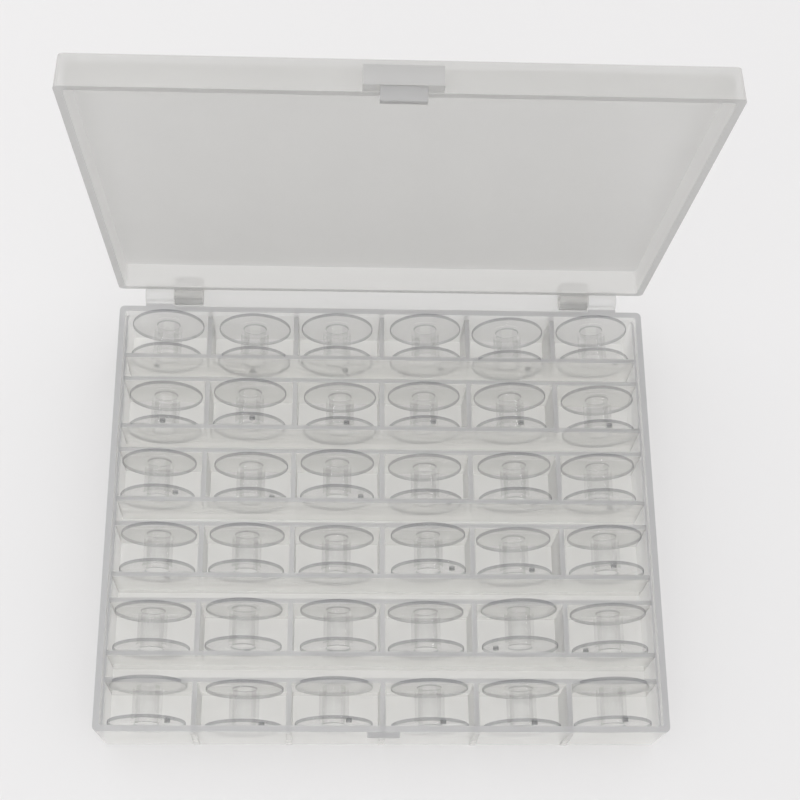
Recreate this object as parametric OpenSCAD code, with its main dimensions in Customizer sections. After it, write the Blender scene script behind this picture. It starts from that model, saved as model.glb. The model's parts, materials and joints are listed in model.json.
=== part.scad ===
// Bobbin storage box: a clear moulded tray with six rows of six compartments,
// a hinged lid with a snap latch, and a clear sewing machine bobbin in each compartment.
// The tray stands on z = 0, its middle at the origin. The front is at -y and the hinge at +y.

/* [Tray] */
// Width of the tray, across the rows
tray_w = 148; // [140:0.5:180]
// Depth of the tray, from front to back
tray_d = 120; // [114:0.5:150]
// Height of the tray up to its rim
tray_h = 19.6; // [18:0.1:30]
// Thickness of the outer walls
tray_wall = 1.6; // [1.2:0.1:2.4]
// Thickness of the floor
floor_t = 1.6; // [1.0:0.1:2.4]
// How much smaller the tray is all round at its foot
draft = 0.5; // [0.1:0.1:0.8]
// Radius of the upright corners
corner_r = 1.4; // [1.0:0.1:3]
// Radius of the upright corners on the inside
inner_r = 0.8; // [0.4:0.1:1.2]

/* [Compartments] */
// Compartments across and rows deep
grid_n = 6; // [3:1:6]
// Depth of a compartment, along the axis of its bobbin
cell_d = 12.9; // [12.2:0.1:13.4]
// Height of the partitions over the floor
partition_h = 15; // [10:0.1:16]
// Thickness of a partition at its top
partition_t = 1.3; // [0.9:0.1:1.6]
// How much thicker a partition is at its foot
partition_draft = 0.2; // [0:0.1:0.4]
// Step in the side walls at the height of the partitions
side_step = 0.6; // [0.3:0.1:0.9]
// Seam between the partitions, and between them and the tray
partition_seam = 0.02; // [0.01:0.01:0.05]

/* [Lid] */
// Depth of the lid, from its rim to its outer face
lid_h = 8; // [7:0.1:14]
// Thickness of the lid's walls
lid_wall = 1.4; // [1.0:0.1:2.2]
// Thickness of the lid's roof
lid_roof = 1.3; // [1.0:0.1:2.2]
// Angle of the lid on its open stop
open_angle = 84; // [0:1:88]
// Gap between the two rims when the lid is shut
rim_gap = 0.2; // [0.1:0.05:0.3]

/* [Hinges] */
// Distance of the hinge axis behind the tray's back wall
axis_back = 3.6; // [3.4:0.1:5]
// Radius of the ears and knuckles
knuckle_r = 2.7; // [2.4:0.1:3]
// Width of an ear, and of the knuckle beside it
ear_w = 7.9; // [6:0.1:10]
// Distance from the tray's side to the outer face of an ear
ear_inset = 7.2; // [5:0.1:20]
// Radius of the stub pin on each ear
pin_r = 1.2; // [0.9:0.05:1.5]
// Length of the stub pin
pin_len = 6; // [4:0.1:7]
// Clearance of the pin in its bore, on the radius
pin_fit = 0.05; // [0.02:0.01:0.1]
// Side gap between an ear and its knuckle
ear_gap = 0.25; // [0.15:0.05:0.5]
// Thickness of the stop shelf behind the back wall
shelf_t = 1.4; // [1:0.1:2]
// Gap between the stop shelf and the knuckles
shelf_gap = 0.25; // [0.15:0.05:0.4]
// How far the stop shelf reaches behind the knuckles
shelf_lip = 1.2; // [0.8:0.1:1.6]
// How far the arm of a knuckle reaches up the back wall of the lid
arm_h = 4; // [3:0.1:5]

/* [Latch] */
// Width of the pad on the front wall of the lid
pad_w = 17.4; // [14:0.2:24]
// Height of the pad
pad_h = 4.7; // [3:0.1:6]
// How far the pad stands proud of the tab
pad_proud = 0.1; // [0.05:0.05:0.3]
// Width of the latch tab
tab_w = 10.2; // [8:0.2:13]
// How far the tab hangs below the rim of the lid
tab_drop = 3.6; // [3.2:0.1:5]
// Thickness of the tab
tab_t = 1.2; // [0.9:0.1:1.6]
// Reach of the lip at the end of the tab
lip = 0.5; // [0.3:0.1:0.8]
// Thickness of the lip
lip_t = 0.9; // [0.6:0.1:1.2]
// How far the catch stands out of the tray's front wall
catch_out = 1.2; // [0.8:0.1:1.6]
// Width of the catch
catch_w = 8.4; // [6:0.2:12]
// Height of the catch on the wall
catch_h = 1.8; // [1.2:0.1:2]
// Clearance between the latch and the catch, and between the tab and its pad
latch_gap = 0.15; // [0.1:0.05:0.3]

/* [Bobbins] */
// Diameter of the flanges
flange_dia = 20.3; // [19:0.1:20.5]
// Width of a bobbin over both flanges
bobbin_w = 11; // [10:0.1:11.8]
// Thickness of a flange at its edge
flange_t = 0.9; // [0.7:0.1:1.2]
// How much thicker a flange is at the hub
flange_swell = 0.25; // [0:0.05:0.4]
// Outer diameter of the hub
hub_dia = 7.9; // [7.2:0.1:10]
// Diameter of the bore
bore_dia = 6.1; // [5.6:0.1:6.4]
// Bevel at both ends of the bore
bore_bevel = 0.3; // [0.1:0.05:0.4]
// Bevel round the outer edge of a flange
rim_bevel = 0.2; // [0.1:0.05:0.3]
// Diameter of the thread hole in each flange
thread_hole = 1.5; // [1:0.1:2]
// Distance of the thread holes from the axis
thread_hole_at = 6.6; // [5.6:0.1:7.4]
// Angle between the thread hole of one flange and that of the other
thread_hole_turn = 70; // [0:5:180]
// Clearance between a bobbin and the floor
bobbin_seat = 0.03; // [0.02:0.01:0.1]

/* [Hidden] */

$fn = 48;
eps = 0.01;
overlap = 0.4;
past = 1;
lean_share = 0.9;

inner_w = tray_w - 2 * tray_wall;
inner_d = tray_d - 2 * tray_wall;
step_w = inner_w - 2 * side_step;
partition_top = floor_t + partition_h;
partition_foot = partition_t / 2 + partition_draft;
row_pitch = (inner_d - cell_d) / (grid_n - 1);
col_pitch = (inner_w + partition_t) / grid_n;

axis_y = tray_d / 2 + axis_back;
axis_z = tray_h - rim_gap;
lid_z = tray_h + rim_gap;
ear_x = tray_w / 2 - ear_inset;
shelf_top = axis_z - knuckle_r - shelf_gap;
shelf_end = axis_y + knuckle_r + shelf_lip;
shelf_w = 2 * (ear_x - ear_w);
stop_slope = tan(90 - open_angle);

tab_in = tray_d / 2 + catch_out + latch_gap + lip;
tab_out = tab_in + tab_t;
pad_out = tab_out + pad_proud;
catch_top = lid_z - tab_drop + lip_t + latch_gap + catch_h;

flange_r = flange_dia / 2;
slack_y = (cell_d - bobbin_w) / 2 - max(partition_draft, lid_wall + draft - tray_wall);
slack_x = (col_pitch - partition_t - flange_dia) / 2 - partition_draft - side_step;

function row_y(r) = tray_d / 2 - tray_wall - cell_d / 2 - (r - 1) * row_pitch;
function col_x(c) = (c - (grid_n + 1) / 2) * col_pitch;
// How far a bobbin leans from the middle of its compartment, from -1 to 1
function lean(r, c, k) = sin(r * 137 + c * 71 * k + 40 * k);

// Tray

// Upright block with rounded corners, smaller at its foot
module drafted_block(w, d, z0, z1, r, shrink) {
    hull() {
        translate([0, 0, z0]) linear_extrude(eps) rounded(w - 2 * shrink, d - 2 * shrink, r);
        translate([0, 0, z1 - eps]) linear_extrude(eps) rounded(w, d, r);
    }
}

module rounded(w, d, r) {
    hull() for (x = [-1, 1], y = [-1, 1]) translate([x * (w / 2 - r), y * (d / 2 - r)]) circle(r = r, $fn = 24);
}

// Ear with its stub pin, on the left or the right
module ear(side) {
    pin_reach = ear_w + ear_gap + pin_len;
    x0 = side > 0 ? ear_x - ear_w : -ear_x;
    translate([x0, axis_y, axis_z]) rotate([0, 90, 0]) cylinder(r = knuckle_r, h = ear_w);
    translate([x0, tray_d / 2 - overlap, axis_z - knuckle_r])
        cube([ear_w, axis_back + overlap, knuckle_r]);
    translate([side > 0 ? ear_x - pin_reach : -ear_x, axis_y, axis_z]) rotate([0, 90, 0])
        cylinder(r = pin_r, h = pin_reach);
}

// Shelf between the ears, on which the knuckles rest when the lid is open
module stop_shelf() {
    translate([-shelf_w / 2 - overlap, tray_d / 2 - tray_wall, shelf_top - shelf_t])
        cube([shelf_w + 2 * overlap, shelf_end - tray_d / 2 + tray_wall, shelf_t]);
    for (s = [-1, 1]) translate([s * (shelf_w / 2 + ear_w / 2) - ear_w / 2, tray_d / 2 - overlap, shelf_top - shelf_t])
        cube([ear_w, axis_back + overlap, axis_z - shelf_top + shelf_t - knuckle_r / 2]);
}

// Catch on the front wall, flat below and sloped above
module front_catch() {
    translate([-catch_w / 2, -tray_d / 2, catch_top]) rotate([90, 0, 90])
        linear_extrude(catch_w)
            polygon([[overlap + draft, 0], [0, 0], [-catch_out, -catch_h * 0.5], [-catch_out, -catch_h],
                     [overlap + draft, -catch_h]]);
}

module tray() {
    color("gainsboro", 0.7) {
        difference() {
            drafted_block(tray_w, tray_d, 0, tray_h, corner_r, draft);
            translate([0, 0, partition_top])
                linear_extrude(tray_h) rounded(inner_w, inner_d, inner_r);
            translate([0, 0, floor_t])
                linear_extrude(tray_h) rounded(step_w, inner_d, inner_r);
        }
        ear(-1);
        ear(1);
        stop_shelf();
        front_catch();
    }
}

// Partitions: each row is a ladder of long and short walls that stands on the floor of the tray.
// The walls meet with a seam, so that each is a plain block and the compartments stay open

// Section of a partition, thinner at its top
module partition_section() {
    polygon([[-partition_foot, floor_t + partition_seam], [partition_foot, floor_t + partition_seam],
             [partition_t / 2, partition_top], [-partition_t / 2, partition_top]]);
}

// Long wall beside a row
module long_wall(y) {
    reach = step_w / 2 - partition_seam;
    translate([-reach, y, 0]) rotate([90, 0, 90]) linear_extrude(2 * reach) partition_section();
}

// Short wall between two compartments; an end that meets a long wall leans with it
module short_wall(x, r) {
    y_back = cell_d / 2 - partition_seam;
    y_front = -y_back;
    lean_back = r > 1 ? partition_draft : 0;
    lean_front = r < grid_n ? partition_draft : 0;
    translate([x, row_y(r), 0]) intersection() {
        translate([0, cell_d, 0]) rotate([90, 0, 0]) linear_extrude(2 * cell_d) partition_section();
        translate([-partition_foot, 0, 0]) rotate([90, 0, 90]) linear_extrude(2 * partition_foot)
            polygon([[y_front + lean_front, 0], [y_back - lean_back, 0],
                     [y_back - lean_back, floor_t], [y_back, partition_top],
                     [y_front, partition_top], [y_front + lean_front, floor_t]]);
    }
}

// The first and the last row have the tray's own wall on one side
module partition_row(r) {
    color("gainsboro", 0.7) {
        if (r > 1) long_wall(row_y(r) + (cell_d + partition_t) / 2);
        if (r < grid_n) long_wall(row_y(r) - (cell_d + partition_t) / 2);
        for (c = [1 : grid_n - 1]) short_wall(col_x(c) + col_pitch / 2, r);
    }
}

// Lid, drawn shut and then swung open about the hinge axis

module swung() {
    translate([0, axis_y, axis_z]) rotate([-open_angle, 0, 0]) translate([0, -axis_y, -axis_z]) children();
}

// Knuckle with its arm to the back wall of the lid; the arm's rear face lies on the shelf when the lid is open
module knuckle(side) {
    x0 = side > 0 ? ear_x - 2 * ear_w - ear_gap : -ear_x + ear_w + ear_gap;
    root = -axis_back - lid_wall;
    difference() {
        union() {
            translate([x0, axis_y, axis_z]) rotate([0, 90, 0]) cylinder(r = knuckle_r, h = ear_w);
            translate([x0, axis_y, axis_z]) rotate([90, 0, 90]) linear_extrude(ear_w)
                polygon([[root, 2 * rim_gap], [0, 2 * rim_gap], [0, 0], [knuckle_r, 0],
                         [knuckle_r + arm_h * stop_slope, arm_h], [root, arm_h]]);
        }
        translate([x0 - past, axis_y, axis_z]) rotate([0, 90, 0])
            cylinder(r = pin_r + pin_fit, h = ear_w + 2 * past);
    }
}

module lid() {
    color("gainsboro", 0.7) swung() {
        difference() {
            translate([0, 0, lid_z]) mirror([0, 0, 1]) translate([0, 0, -lid_h])
                drafted_block(tray_w, tray_d, 0, lid_h, corner_r, draft);
            translate([0, 0, lid_z - past])
                linear_extrude(lid_h - lid_roof + past)
                    rounded(tray_w - 2 * lid_wall - 2 * draft, tray_d - 2 * lid_wall - 2 * draft, inner_r);
        }
        knuckle(-1);
        knuckle(1);
        translate([-pad_w / 2, -pad_out, lid_z + latch_gap])
            cube([pad_w, pad_out - tray_d / 2 + lid_wall / 2 + draft, pad_h]);
    }
}

// Latch tab with the lip that snaps under the catch
module latch_tab() {
    color("silver", 0.8) swung() {
        translate([-tab_w / 2, -tab_out, lid_z - tab_drop]) cube([tab_w, tab_t, tab_drop]);
        translate([-tab_w / 2, -tab_in - eps, lid_z - tab_drop]) rotate([90, 0, 90])
            linear_extrude(tab_w) polygon([[0, 0], [lip * 0.4, 0], [lip + eps, lip_t * 0.6], [lip + eps, lip_t], [0, lip_t]]);
    }
}

// Bobbins

// Half section of a bobbin, turned about its axis
module bobbin_body() {
    w = bobbin_w / 2;
    r_bore = bore_dia / 2;
    r_hub = hub_dia / 2;
    rotate_extrude($fn = 96) polygon([
        [r_bore, bore_bevel - w], [r_bore + bore_bevel, -w],
        [flange_r - rim_bevel, -w], [flange_r, rim_bevel - w],
        [flange_r, flange_t - w], [r_hub, flange_t + flange_swell - w],
        [r_hub, w - flange_t - flange_swell], [flange_r, w - flange_t],
        [flange_r, w - rim_bevel], [flange_r - rim_bevel, w],
        [r_bore + bore_bevel, w], [r_bore, w - bore_bevel]]);
}

module bobbin(r, c) {
    x = col_x(c) + lean(r, c, 2) * slack_x * lean_share;
    y = row_y(r) + lean(r, c, 3) * slack_y * lean_share;
    color("white", 0.5) translate([x, y, floor_t + flange_r + bobbin_seat])
        rotate([90, 360 * lean(r, c, 5), 0])
            difference() {
                bobbin_body();
                thread_hole_cut(0, -bobbin_w / 2 - past);
                thread_hole_cut(thread_hole_turn, bobbin_w / 2 - flange_t - flange_swell - past);
            }
}

// Cut through one flange, upward from z
module thread_hole_cut(turn, z) {
    rotate([0, 0, turn]) translate([thread_hole_at, 0, z])
        cylinder(d = thread_hole, h = flange_t + flange_swell + 2 * past, $fn = 24);
}

tray();
lid();
latch_tab();
for (r = [1 : grid_n]) partition_row(r);
for (r = [1 : grid_n]) for (c = [1 : grid_n]) bobbin(r, c);
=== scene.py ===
import json
import math

import bpy
import numpy as np
from mathutils import Matrix, Vector


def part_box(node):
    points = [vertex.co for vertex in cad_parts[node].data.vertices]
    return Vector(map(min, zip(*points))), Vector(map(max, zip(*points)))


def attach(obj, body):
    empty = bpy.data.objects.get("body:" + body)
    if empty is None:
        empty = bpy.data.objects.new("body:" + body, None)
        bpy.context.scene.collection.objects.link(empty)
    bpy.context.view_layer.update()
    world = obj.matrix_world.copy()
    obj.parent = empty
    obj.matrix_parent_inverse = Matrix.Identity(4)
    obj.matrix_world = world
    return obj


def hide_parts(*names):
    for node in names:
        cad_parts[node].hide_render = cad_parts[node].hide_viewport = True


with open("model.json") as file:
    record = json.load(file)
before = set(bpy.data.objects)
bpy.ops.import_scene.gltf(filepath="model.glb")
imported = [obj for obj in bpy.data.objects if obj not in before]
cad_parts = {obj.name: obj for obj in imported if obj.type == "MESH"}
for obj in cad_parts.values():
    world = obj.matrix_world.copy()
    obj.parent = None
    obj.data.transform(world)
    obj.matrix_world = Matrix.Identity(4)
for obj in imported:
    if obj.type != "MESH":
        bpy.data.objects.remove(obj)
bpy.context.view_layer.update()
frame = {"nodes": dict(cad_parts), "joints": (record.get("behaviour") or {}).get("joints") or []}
mm = 0.001
rowCount = 6

# Pinhole camera fitted to the photograph, in pixels, millimetres and degrees
camera = {
    "imagePixels": 800,
    "focalPixels": 1610.7,
    "sensorMm": 36.0,
    "placeMm": (-15.55, -141.40, 431.50),
    "pitch": 67.023,
    "yaw": -6.715,
    "roll": 6.851,
    "clipStartM": 0.01,
}


def placeCamera(values):
    # Right, up and back vectors from yaw and downward pitch, then turned by roll about the view line
    yaw, pitch, roll = (math.radians(values[k]) for k in ("yaw", "pitch", "roll"))
    forward = Vector((-math.sin(yaw) * math.cos(pitch), math.cos(yaw) * math.cos(pitch), -math.sin(pitch)))
    right = Vector((math.cos(yaw), math.sin(yaw), 0.0))
    up = right.cross(forward)
    x = math.cos(roll) * right + math.sin(roll) * up
    y = -math.sin(roll) * right + math.cos(roll) * up
    data = bpy.data.cameras.new("photoView")
    data.sensor_width = values["sensorMm"]
    data.lens = values["focalPixels"] / values["imagePixels"] * values["sensorMm"]
    data.clip_start = values["clipStartM"]
    obj = bpy.data.objects.new("photoView", data)
    turn = Matrix((x, y, -forward)).transposed().to_4x4()
    obj.matrix_world = Matrix.Translation(Vector(values["placeMm"]) * mm) @ turn
    bpy.context.scene.collection.objects.link(obj)
    bpy.context.scene.camera = obj


placeCamera(camera)
print("camera placed")


def toLinear(hexColour):
    # sRGB hex to linear RGBA: c / 12.92 below 0.04045, ((c + 0.055) / 1.055) ^ 2.4 above
    srgb = np.array([int(hexColour[i : i + 2], 16) for i in (1, 3, 5)]) / 255
    linear = np.where(srgb <= 0.04045, srgb / 12.92, ((srgb + 0.055) / 1.055) ** 2.4)
    return (*linear.tolist(), 1.0)


def addNode(tree, kind, settings=None, links=None):
    # settings: attribute or input name to value; links: input name or index to an output socket
    node = tree.nodes.new(kind)
    for name, value in (settings or {}).items():
        if isinstance(name, str) and hasattr(node, name):
            setattr(node, name, value)
        else:
            node.inputs[name].default_value = value
    for name, socket in (links or {}).items():
        tree.links.new(socket, node.inputs[name])
    return node


def newMaterial(name):
    mat = bpy.data.materials.new(name)
    mat.use_nodes = True
    mat.node_tree.nodes.clear()
    return mat, mat.node_tree


def setOutput(tree, socket):
    addNode(tree, "ShaderNodeOutputMaterial", links={"Surface": socket})


def clearPart(tree, solid, through, share, lampColour):
    # share of the solid shader over straight sight through the plastic; lamps shine through it at lampColour
    lampPath = addNode(tree, "ShaderNodeLightPath")
    seen = addNode(tree, "ShaderNodeMixShader", links={0: share, 1: through, 2: solid})
    lamps = addNode(tree, "ShaderNodeBsdfTransparent", {"Color": toLinear(lampColour)})
    mix = addNode(tree, "ShaderNodeMixShader", links={
        0: lampPath.outputs["Is Shadow Ray"], 1: seen.outputs[0], 2: lamps.outputs[0]})
    setOutput(tree, mix.outputs[0])


def addNoise(tree, place, lengthMm, detail):
    # Noise whose clouds are about lengthMm long
    settings = {"Scale": 1 / (lengthMm * mm), "Detail": detail}
    return addNode(tree, "ShaderNodeTexNoise", settings, {"Vector": place})


# Natural polypropylene, injection moulded: milky, passes light, blurs what is behind it, satin from its tool.
# Flow marks are clouds some 20 mm long; the tool's grain is finer than a pixel, so it is drawn at 0.6 mm.
# Rims, wall tops and some outer faces are painted a darker grey, painted shade, in their colour and in what shows
# through them, and look less clear there.
def mouldedPolypropylene(name, values):
    mat, tree = newMaterial(name)
    place = addNode(tree, "ShaderNodeTexCoord").outputs["Object"]
    flow = addNoise(tree, place, values["flowMarkMm"], values["flowDetail"])
    grain = addNoise(tree, place, values["grainMm"], values["grainDetail"])
    # Painted shade, 0 to 1 a face, greys the plastic's colour and see-through colour and makes it less clear
    shadeAmount = addNode(tree, "ShaderNodeAttribute", {"attribute_name": "paintedShade"}).outputs["Fac"]
    milky, clear = toLinear(values["milkyColour"]), toLinear(values["clearColour"])
    cloud = addNode(tree, "ShaderNodeMix", {"data_type": "RGBA", 6: milky, 7: clear},
                    {"Factor": flow.outputs["Fac"]})
    tint = addNode(tree, "ShaderNodeMix", {"data_type": "RGBA", 7: toLinear(values["paintedShadeColour"])},
                   {"Factor": shadeAmount, 6: cloud.outputs[2]})
    bump = addNode(tree, "ShaderNodeBump", {"Strength": values["grainStrength"],
                                             "Distance": values["grainHeightMm"] * mm},
                   {"Height": grain.outputs["Fac"]})
    plastic = addNode(tree, "ShaderNodeBsdfPrincipled",
                      {"Roughness": values["roughness"], "IOR": values["refraction"],
                       "Transmission Weight": values["transmission"]},
                      {"Base Color": tint.outputs[2], "Normal": bump.outputs["Normal"]})
    sight = addNode(tree, "ShaderNodeMix", {"data_type": "RGBA", 6: toLinear(values["sightColour"]),
                                            7: toLinear(values["paintedShadeColour"])}, {"Factor": shadeAmount})
    through = addNode(tree, "ShaderNodeBsdfTransparent", links={"Color": sight.outputs[2]})
    share = addNode(tree, "ShaderNodeMapRange", {"To Min": values["milk"], "To Max": values["paintedShadeMilk"]},
                    {"Value": shadeAmount})
    clearPart(tree, plastic.outputs[0], through.outputs[0], share.outputs[0], values["lampColour"])
    return mat


# General purpose polystyrene, injection moulded in a polished tool: water clear, glossy, bright at a slant
def mouldedPolystyrene(name, values):
    mat, tree = newMaterial(name)
    place = addNode(tree, "ShaderNodeTexCoord").outputs["Object"]
    ripple = addNoise(tree, place, values["rippleMm"], values["rippleDetail"])
    bump = addNode(tree, "ShaderNodeBump", {"Strength": values["rippleStrength"],
                                             "Distance": values["rippleHeightMm"] * mm},
                   {"Height": ripple.outputs["Fac"]})
    rim = addNode(tree, "ShaderNodeAttribute", {"attribute_name": "paintedShade"}).outputs["Fac"]
    # Painted shade: rims, bore bevels and thread hole walls are tinted grey, as dark edge lines
    tint = addNode(tree, "ShaderNodeMix", {"data_type": "RGBA", 6: toLinear(values["colour"]),
                                           7: toLinear(values["paintedEdgeShade"])}, {"Factor": rim})
    plastic = addNode(tree, "ShaderNodeBsdfPrincipled",
                      {"Roughness": values["roughness"], "IOR": values["refraction"],
                       "Transmission Weight": values["transmission"]},
                      {"Base Color": tint.outputs[2], "Normal": bump.outputs["Normal"]})
    through = addNode(tree, "ShaderNodeBsdfTransparent", links={"Color": tint.outputs[2]})
    slant = addNode(tree, "ShaderNodeLayerWeight", {"Blend": values["slantBlend"]}).outputs["Facing"]
    share = addNode(tree, "ShaderNodeMapRange",
                    {"To Min": values["faceShare"], "To Max": values["slantShare"]}, {"Value": slant})
    clearPart(tree, plastic.outputs[0], through.outputs[0], share.outputs[0], values["lampColour"])
    return mat


polypropylene = {
    "milkyColour": "#f9f8f7", "clearColour": "#fcfcfb", "paintedShadeColour": "#b2b2b3", "sightColour": "#fefefd",
    "lampColour": "#fbfbfb", "milk": 0.38, "paintedShadeMilk": 0.85, "roughness": 0.3, "refraction": 1.49,
    "transmission": 0.35, "flowMarkMm": 20, "flowDetail": 2.0, "grainMm": 0.6, "grainDetail": 1.0,
    "grainStrength": 0.15, "grainHeightMm": 0.05,
}
wallPolypropylene = {**polypropylene, "milk": 0.26}
# The lid is the tray's plastic painted darker, painted shade for the open lid
shadedLidPolypropylene = {
    **polypropylene, "milkyColour": "#dedddb", "clearColour": "#e3e2e0", "sightColour": "#f4f4f3",
}
polystyrene = {
    "colour": "#fcfcfc", "paintedEdgeShade": "#cfd0d2", "lampColour": "#fbfbfb", "roughness": 0.03,
    "refraction": 1.59, "transmission": 1.0, "rippleMm": 3, "rippleDetail": 1.0, "rippleStrength": 0.1,
    "rippleHeightMm": 0.1,
    "faceShare": 0.08, "slantShare": 0.26, "slantBlend": 0.3,
}
trayPlastic = mouldedPolypropylene("polypropyleneTray", polypropylene)
wallPlastic = mouldedPolypropylene("polypropylenePartitions", wallPolypropylene)
shadedLidPlastic = mouldedPolypropylene("polypropyleneLidShaded", shadedLidPolypropylene)
bobbinPlastic = mouldedPolystyrene("polystyreneBobbin", polystyrene)
print("materials made")


# Widths and thresholds of the mesh steps, in metres and degrees
meshWork = {"mergeM": 1e-6, "flatAngle": 0.5, "bevelAngle": 30, "bevelSegments": 2, "creaseAngle": 25}


def setMaterial(obj, material):
    obj.data.materials.clear()
    obj.data.materials.append(material)


def newPiece(name, verts, faces, material):
    mesh = bpy.data.meshes.new(name)
    mesh.from_pydata(verts.tolist(), [], faces)
    mesh.update()
    obj = bpy.data.objects.new(name, mesh)
    bpy.context.scene.collection.objects.link(obj)
    setMaterial(obj, material)
    return obj


def applyModifiers(obj):
    # The evaluated mesh takes the place of the mesh and its modifiers
    graph = bpy.context.evaluated_depsgraph_get()
    mesh = bpy.data.meshes.new_from_object(obj.evaluated_get(graph))
    obj.modifiers.clear()
    obj.data = mesh


def copyOfNode(name, node):
    # A CAD node's mesh with its double vertices merged
    obj = bpy.data.objects.new(name, frame["nodes"][node].data.copy())
    bpy.context.scene.collection.objects.link(obj)
    weld = obj.modifiers.new("merge", "WELD")
    weld.merge_threshold = meshWork["mergeM"]
    applyModifiers(obj)
    return obj


def leaningBlock(name, low, high, foot, material):
    # low and high: opposite corners in mm, with the top's outline; foot: its spread in x and y at the bottom
    x = np.array([low[0], high[0], high[0], low[0]])
    y = np.array([low[1], low[1], high[1], high[1]])
    spreadX, spreadY = np.array([-1, 1, 1, -1]) * foot[0], np.array([-1, -1, 1, 1]) * foot[1]
    top = np.stack([x, y, np.full(4, high[2])], axis=1)
    bottom = np.stack([x + spreadX, y + spreadY, np.full(4, low[2])], axis=1)
    faces = [(3, 2, 1, 0), (4, 5, 6, 7)] + [(k, (k + 1) % 4, 4 + (k + 1) % 4, 4 + k) for k in range(4)]
    return newPiece(name, np.vstack([bottom, top]) * mm, faces, material)


def combine(obj, others, operation):
    # Exact boolean of obj with each of the others, which are then removed
    for k, other in enumerate(others):
        step = obj.modifiers.new(f"combine{k}", "BOOLEAN")
        step.operation = operation
        step.solver = "EXACT"
        step.object = other
    applyModifiers(obj)
    for other in others:
        bpy.data.objects.remove(other)


def softenEdges(obj, width, material, joinFlat=True):
    # Flat faces joined, then each sharp edge rounded to width in mm, the radius of its mould
    if joinFlat:
        flat = obj.modifiers.new("flatFaces", "DECIMATE")
        flat.decimate_type = "DISSOLVE"
        flat.angle_limit = math.radians(meshWork["flatAngle"])
    bevel = obj.modifiers.new("mouldRadius", "BEVEL")
    bevel.width = width * mm
    bevel.segments = meshWork["bevelSegments"]
    bevel.limit_method = "ANGLE"
    bevel.angle_limit = math.radians(meshWork["bevelAngle"])
    bevel.harden_normals = False
    applyModifiers(obj)
    setMaterial(obj, material)
    obj.data.shade_smooth()
    obj.data.set_sharp_from_angle(angle=math.radians(meshWork["creaseAngle"]))


def markPaintedShade(obj, rule):
    # Painted shade, one value a face from 0 to 1, in an attribute: rule takes the faces' centres in millimetres
    # and their normals
    count = len(obj.data.polygons)
    centre, normal = np.empty(count * 3), np.empty(count * 3)
    obj.data.polygons.foreach_get("center", centre)
    obj.data.polygons.foreach_get("normal", normal)
    shadeAmount = rule(centre.reshape(-1, 3) / mm, normal.reshape(-1, 3))
    mark = obj.data.attributes.new("paintedShade", "FLOAT", "FACE")
    mark.data.foreach_set("value", shadeAmount.astype(np.float32))


# Mould radii and, from 0 to 1, how much painted shade, a darker grey, each kind of face gets
box = {
    "mouldRadiusMm": 0.2, "latchRadiusMm": 0.12, "facing": 0.6,
    "trayRim": 0.8, "trayShelf": 0.2, "traySide": 0.4, "catch": 0.9, "faceBandMm": 1,
    "lidRim": 0.4, "lidRimBandMm": 1.2, "pad": 0.45, "padBandMm": 0.05, "latch": 0.5,
    "wallTop": 0.8, "shortWallSide": 0.4,
}

tray = copyOfNode("trayMoulding", "tray")
softenEdges(tray, box["mouldRadiusMm"], trayPlastic)
trayLow, trayHigh = (np.array(v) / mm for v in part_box("tray"))
# The tray's foremost point is its catch, 1.2 mm before the front wall
catchFront = -trayLow[1]


def trayPaintedShade(c, n):
    # Painted shade on the rim, stop shelf and ears behind the back wall, outer faces of the side walls and front
    # of the catch; all else 0
    facing = box["facing"]
    rim = (n[:, 2] > facing) * (c[:, 2] > trayHigh[2] / 2)
    side = (np.abs(n[:, 0]) > facing) * (n[:, 0] * c[:, 0] > trayHigh[0] - box["faceBandMm"])
    front = (n[:, 1] < -facing) * (c[:, 1] < box["faceBandMm"] - catchFront)
    walls = np.maximum(side * box["traySide"], front * box["catch"])
    return np.where(c[:, 1] > catchFront, box["trayShelf"], np.maximum(rim * box["trayRim"], walls))


markPaintedShade(tray, trayPaintedShade)
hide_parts("tray")
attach(tray, "tray")

# Each row's ladder of walls, moulded in one with the tray: it runs a little into the floor and the tray's
# walls. Sizes in mm, the same as in the part's source.
partitions = {
    "thickness": 1.3, "footSpread": 0.2, "floorZ": 1.6, "topZ": 16.6, "cellDepth": 12.9, "columnPitch": 24.35,
    "reach": 71.8, "sunk": 0.15, "radius": 0.12, "trayWall": 1.6,
}


def wallTopPaintedShade(c, n):
    # Painted shade on the tops of the walls and the sides of the short walls, which show as soft grey bands
    top, side = n[:, 2] > box["facing"], np.abs(n[:, 0]) > box["facing"]
    return np.maximum(top * box["wallTop"], side * box["shortWallSide"])


def partitionRow(row, centreY, p):
    # A long wall on each side where another row follows, and a short wall between two compartments
    half, spread = p["thickness"] / 2, p["footSpread"]
    bottom, inner, reach = p["floorZ"] - p["sunk"], p["cellDepth"] / 2, p["reach"] + p["sunk"]
    sides = [side for side, nextRow in ((1, row - 1), (-1, row + 1)) if 1 <= nextRow <= rowCount]
    blocks = []
    for side in sides:
        y = centreY + side * (inner + half)
        low, high = (-reach, y - half, bottom), (reach, y + half, p["topZ"])
        blocks.append(leaningBlock(f"long{row}{side}", low, high, (0, spread), wallPlastic))
    endY = inner + half / 2
    for col in range(1, rowCount):
        x = (col - rowCount / 2) * p["columnPitch"]
        low, high = (x - half, centreY - endY, bottom), (x + half, centreY + endY, p["topZ"])
        blocks.append(leaningBlock(f"short{row}{col}", low, high, (spread, 0), wallPlastic))
    combine(blocks[0], blocks[1:], "UNION")
    blocks[0].name = f"partitionWalls_r{row}"
    softenEdges(blocks[0], p["radius"], wallPlastic, joinFlat=False)
    markPaintedShade(blocks[0], wallTopPaintedShade)
    return blocks[0]


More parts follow.
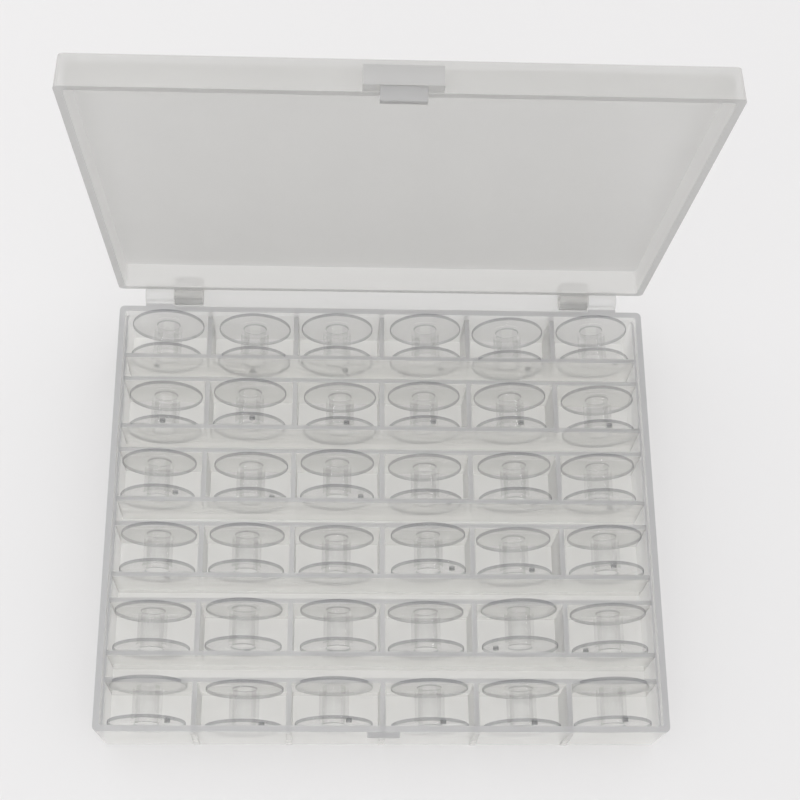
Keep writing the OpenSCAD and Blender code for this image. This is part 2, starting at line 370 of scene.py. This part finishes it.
# Counted from the catch, so the walls of rows 1 and 6 lie 1.2 mm further out than the CAD's, those between less
firstRowY = catchFront - partitions["trayWall"] - partitions["cellDepth"] / 2
for row in range(1, rowCount + 1):
    centreY = firstRowY * (1 - 2 * (row - 1) / (rowCount - 1))
    walls = partitionRow(row, centreY, partitions)
    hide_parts(f"partitions_r{row}")
    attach(walls, "tray")

lid = copyOfNode("lidMoulding", "lid")
softenEdges(lid, box["mouldRadiusMm"], shadedLidPlastic)
hinge = next(j for j in frame["joints"] if j["name"] == "lid_hinge")
openAngle = math.radians(-hinge["range_deg"][0])
axisMm = np.array(hinge["pos_m"]) / mm
# Where the shut lid's down and front point with the lid open
closedDown = np.array([0, -math.sin(openAngle), -math.cos(openAngle)])
closedFront = np.array([0, -math.cos(openAngle), math.sin(openAngle)])


def lidPaintedShade(c, n):
    # Painted shade on the rim and the latch's pad; all else 0
    below, forward = (c - axisMm) @ closedDown, (c - axisMm) @ closedFront
    rim = (n @ closedDown > box["facing"]) * (below > -box["lidRimBandMm"])
    pad = (n @ closedFront > box["facing"]) * (forward > forward.max() - box["padBandMm"])
    return np.maximum(rim * box["lidRim"], pad * box["pad"])


markPaintedShade(lid, lidPaintedShade)
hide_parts("lid")
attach(lid, "lid")

latch = copyOfNode("latchTongue", "latch_tab")
softenEdges(latch, box["latchRadiusMm"], shadedLidPlastic)
# The whole latch tongue gets an even painted shade
markPaintedShade(latch, lambda c, n: np.full(len(c), box["latch"]))
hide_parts("latch_tab")
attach(latch, "latch_tab")
print("tray, lid and latch made:", len(tray.data.vertices), len(lid.data.vertices), len(latch.data.vertices))

# Class 15 bobbin, sizes in mm and degrees; the turns are those of the part's source
bobbin = {
    "flangeR": 10.15, "width": 11.0, "flangeT": 0.9, "flangeSwell": 0.25, "hubR": 3.95, "boreR": 3.05,
    "boreBevel": 0.3, "rimRadius": 0.2, "rootRadius": 0.3, "recessR": 4.7, "recessDepth": 0.18,
    "threadHole": 1.5, "threadHoleAt": 6.6, "threadHoleTurn": 70, "around": 96, "arcPoints": 4,
    "drillReach": 1.5, "drillAround": 24, "drillCentre": 1e-6, "rimShare": 0.999, "bevelEdge": 0.05,
    "holeEdge": 0.02, "holeFacing": 0.5, "creaseAngle": 35, "rowTurn": 137, "columnTurn": 355, "firstTurn": 200,
}


def bobbinProfile(b):
    # Closed section (r, z): bore, bevel, recess, face, rounded rim, inner face, root and hub, mirrored in z
    w, arc = b["width"] / 2, np.linspace(0, math.pi / 2, b["arcPoints"])
    rim, root = b["rimRadius"], b["rootRadius"]
    rimR, innerZ = b["flangeR"] - rim, w - b["flangeT"] + rim
    edge = [(rimR + rim * math.sin(a), w - rim + rim * math.cos(a)) for a in arc]
    inner = [(rimR + rim * math.cos(a), innerZ - rim * math.sin(a)) for a in arc]
    foot = w - b["flangeT"] - b["flangeSwell"]
    rooted = [(b["hubR"] + root - root * math.sin(a), foot - root + root * math.cos(a)) for a in arc]
    sunkZ = w - b["recessDepth"]
    top = [(b["boreR"], sunkZ - b["boreBevel"]), (b["boreR"] + b["boreBevel"], sunkZ),
           (b["recessR"] - b["recessDepth"], sunkZ), (b["recessR"], w)]
    half = np.array(top + edge + inner + rooted)
    return np.vstack([half, (half * [1, -1])[::-1]])


def lathe(profile, around):
    # (r cos t, r sin t, z) for each profile point and each t in steps of 360 / around degrees
    t = np.arange(around) * 2 * math.pi / around
    r, z = profile[:, 0:1], profile[:, 1:2]
    verts = np.stack([r * np.cos(t), r * np.sin(t), z + 0 * t], axis=-1).reshape(-1, 3)
    rows, cols = np.meshgrid(np.arange(len(profile)), np.arange(around), indexing="ij")
    nextRow, nextCol = (rows + 1) % len(profile), (cols + 1) % around
    quads = np.stack([rows * around + cols, nextRow * around + cols,
                      nextRow * around + nextCol, rows * around + nextCol], axis=-1).reshape(-1, 4)
    return verts, quads


def holePlace(b, turn):
    # x and y of a thread hole
    angle = math.radians(turn)
    return math.cos(angle) * b["threadHoleAt"], math.sin(angle) * b["threadHoleAt"]


def bobbinPaintedShade(c, n, b):
    # Painted shade, drawn as dark edge lines: rims of the flanges, bevels of the bore and walls of the thread
    # holes 1, all else 0
    r = np.hypot(c[:, 0], c[:, 1])
    rim = r > (b["flangeR"] - b["rimRadius"]) * b["rimShare"]
    bevel = (r > b["boreR"] + b["bevelEdge"]) * (r < b["boreR"] + b["boreBevel"])
    shadeAmount = (rim | bevel) * 1.0
    for turn in (0, b["threadHoleTurn"]):
        x, y = holePlace(b, turn)
        near = np.hypot(c[:, 0] - x, c[:, 1] - y) < b["threadHole"] / 2 + b["holeEdge"]
        shadeAmount = np.maximum(shadeAmount, near * (np.abs(n[:, 2]) < b["holeFacing"]))
    return shadeAmount


def masterBobbin(b):
    # One bobbin about z, with a thread hole through each flange
    verts, quads = lathe(bobbinProfile(b) * mm, b["around"])
    made = newPiece("bobbinMaster", verts, quads.tolist(), bobbinPlastic)
    inner, outer, reach = b["drillCentre"], b["threadHole"] / 2, b["drillReach"]
    pinProfile = np.array([(inner, -reach), (outer, -reach), (outer, reach), (inner, reach)]) * mm
    drills = []
    for turn, side in ((0, -1), (b["threadHoleTurn"], 1)):
        pin, pinFaces = lathe(pinProfile, b["drillAround"])
        place = np.array([*holePlace(b, turn), side * b["width"] / 2]) * mm
        drills.append(newPiece(f"drill{side}", pin + place, pinFaces.tolist(), bobbinPlastic))
    combine(made, drills, "DIFFERENCE")
    markPaintedShade(made, lambda c, n: bobbinPaintedShade(c, n, b))
    return made


def spinOf(row, col, b):
    # A loose bobbin's turn about its own axis, 360 sin(turns of row and column) degrees, in radians
    turn = row * b["rowTurn"] + col * b["columnTurn"] + b["firstTurn"]
    return math.radians(360 * math.sin(math.radians(turn)))


master = masterBobbin(bobbin)
flip = np.array([[1, 0, 0], [0, 0, -1], [0, 1, 0]])  # axis from z to -y
masterPoints = np.empty(len(master.data.vertices) * 3)
master.data.vertices.foreach_get("co", masterPoints)
masterPoints = masterPoints.reshape(-1, 3) @ flip.T
for row in range(1, rowCount + 1):
    for col in range(1, rowCount + 1):
        node = f"bobbin_r{row}c{col}"
        low, high = (np.array(v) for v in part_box(node))
        a = spinOf(row, col, bobbin)
        turn = np.array([[math.cos(a), 0, math.sin(a)], [0, 1, 0], [-math.sin(a), 0, math.cos(a)]])
        mesh = master.data.copy()
        mesh.name = f"clearBobbin_r{row}c{col}"
        mesh.vertices.foreach_set("co", (masterPoints @ turn.T + (low + high) / 2).ravel())
        mesh.update()
        piece = bpy.data.objects.new(mesh.name, mesh)
        bpy.context.scene.collection.objects.link(piece)
        mesh.shade_smooth()
        mesh.set_sharp_from_angle(angle=math.radians(bobbin["creaseAngle"]))
        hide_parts(node)
        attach(piece, node)
bpy.data.objects.remove(master)
print("bobbins made")

# Plain pale floor and plain soft light
studio = {
    "floorColour": "#e4e3e2", "floorRoughness": 0.9, "floorGloss": 0.1, "floorSizeM": 6.0, "floorZ": -0.0002,
    "worldColour": "#fafafc", "worldStrength": 0.9, "clearBounces": 32, "lamps": [
        # name, place in m, aim, width in m, watts
        ("softOverhead", (-0.25, 0.15, 1.1), (0, 0, 0), 1.0, 4.0),
        ("softFront", (0.5, -0.9, 0.7), (0, 0, 0.02), 0.8, 0.3),
    ],
}


def makeFloor(s):
    h = s["floorSizeM"] / 2
    verts = np.array([(-h, -h, s["floorZ"]), (h, -h, s["floorZ"]), (h, h, s["floorZ"]), (-h, h, s["floorZ"])])
    mat, tree = newMaterial("paleBoard")
    board = addNode(tree, "ShaderNodeBsdfPrincipled", {
        "Base Color": toLinear(s["floorColour"]), "Roughness": s["floorRoughness"],
        "Specular IOR Level": s["floorGloss"]})
    setOutput(tree, board.outputs["BSDF"])
    newPiece("floorBoard", verts, [(0, 1, 2, 3)], mat)


def makeLights(s):
    world = bpy.data.worlds.new("studio")
    bpy.context.scene.world = world
    world.use_nodes = True
    world.node_tree.nodes.clear()
    sky = addNode(world.node_tree, "ShaderNodeBackground",
                  {"Color": toLinear(s["worldColour"]), "Strength": s["worldStrength"]})
    addNode(world.node_tree, "ShaderNodeOutputWorld", links={"Surface": sky.outputs["Background"]})
    for name, place, aim, width, watts in s["lamps"]:
        data = bpy.data.lights.new(name, "AREA")
        data.shape = "DISK"
        data.size = width
        data.energy = watts
        lamp = bpy.data.objects.new(name, data)
        lamp.location = place
        lamp.rotation_euler = (Vector(aim) - Vector(place)).to_track_quat("-Z", "Y").to_euler()
        bpy.context.scene.collection.objects.link(lamp)


makeFloor(studio)
makeLights(studio)
bpy.context.scene.view_settings.view_transform = "Standard"
# Light has to get through a bobbin and several walls, so more steps through clear surfaces are let by
lightPaths = bpy.context.scene.cycles
lightPaths.max_bounces = lightPaths.transmission_bounces = studio["clearBounces"]
lightPaths.transparent_max_bounces = 2 * studio["clearBounces"]
print("floor and light made")
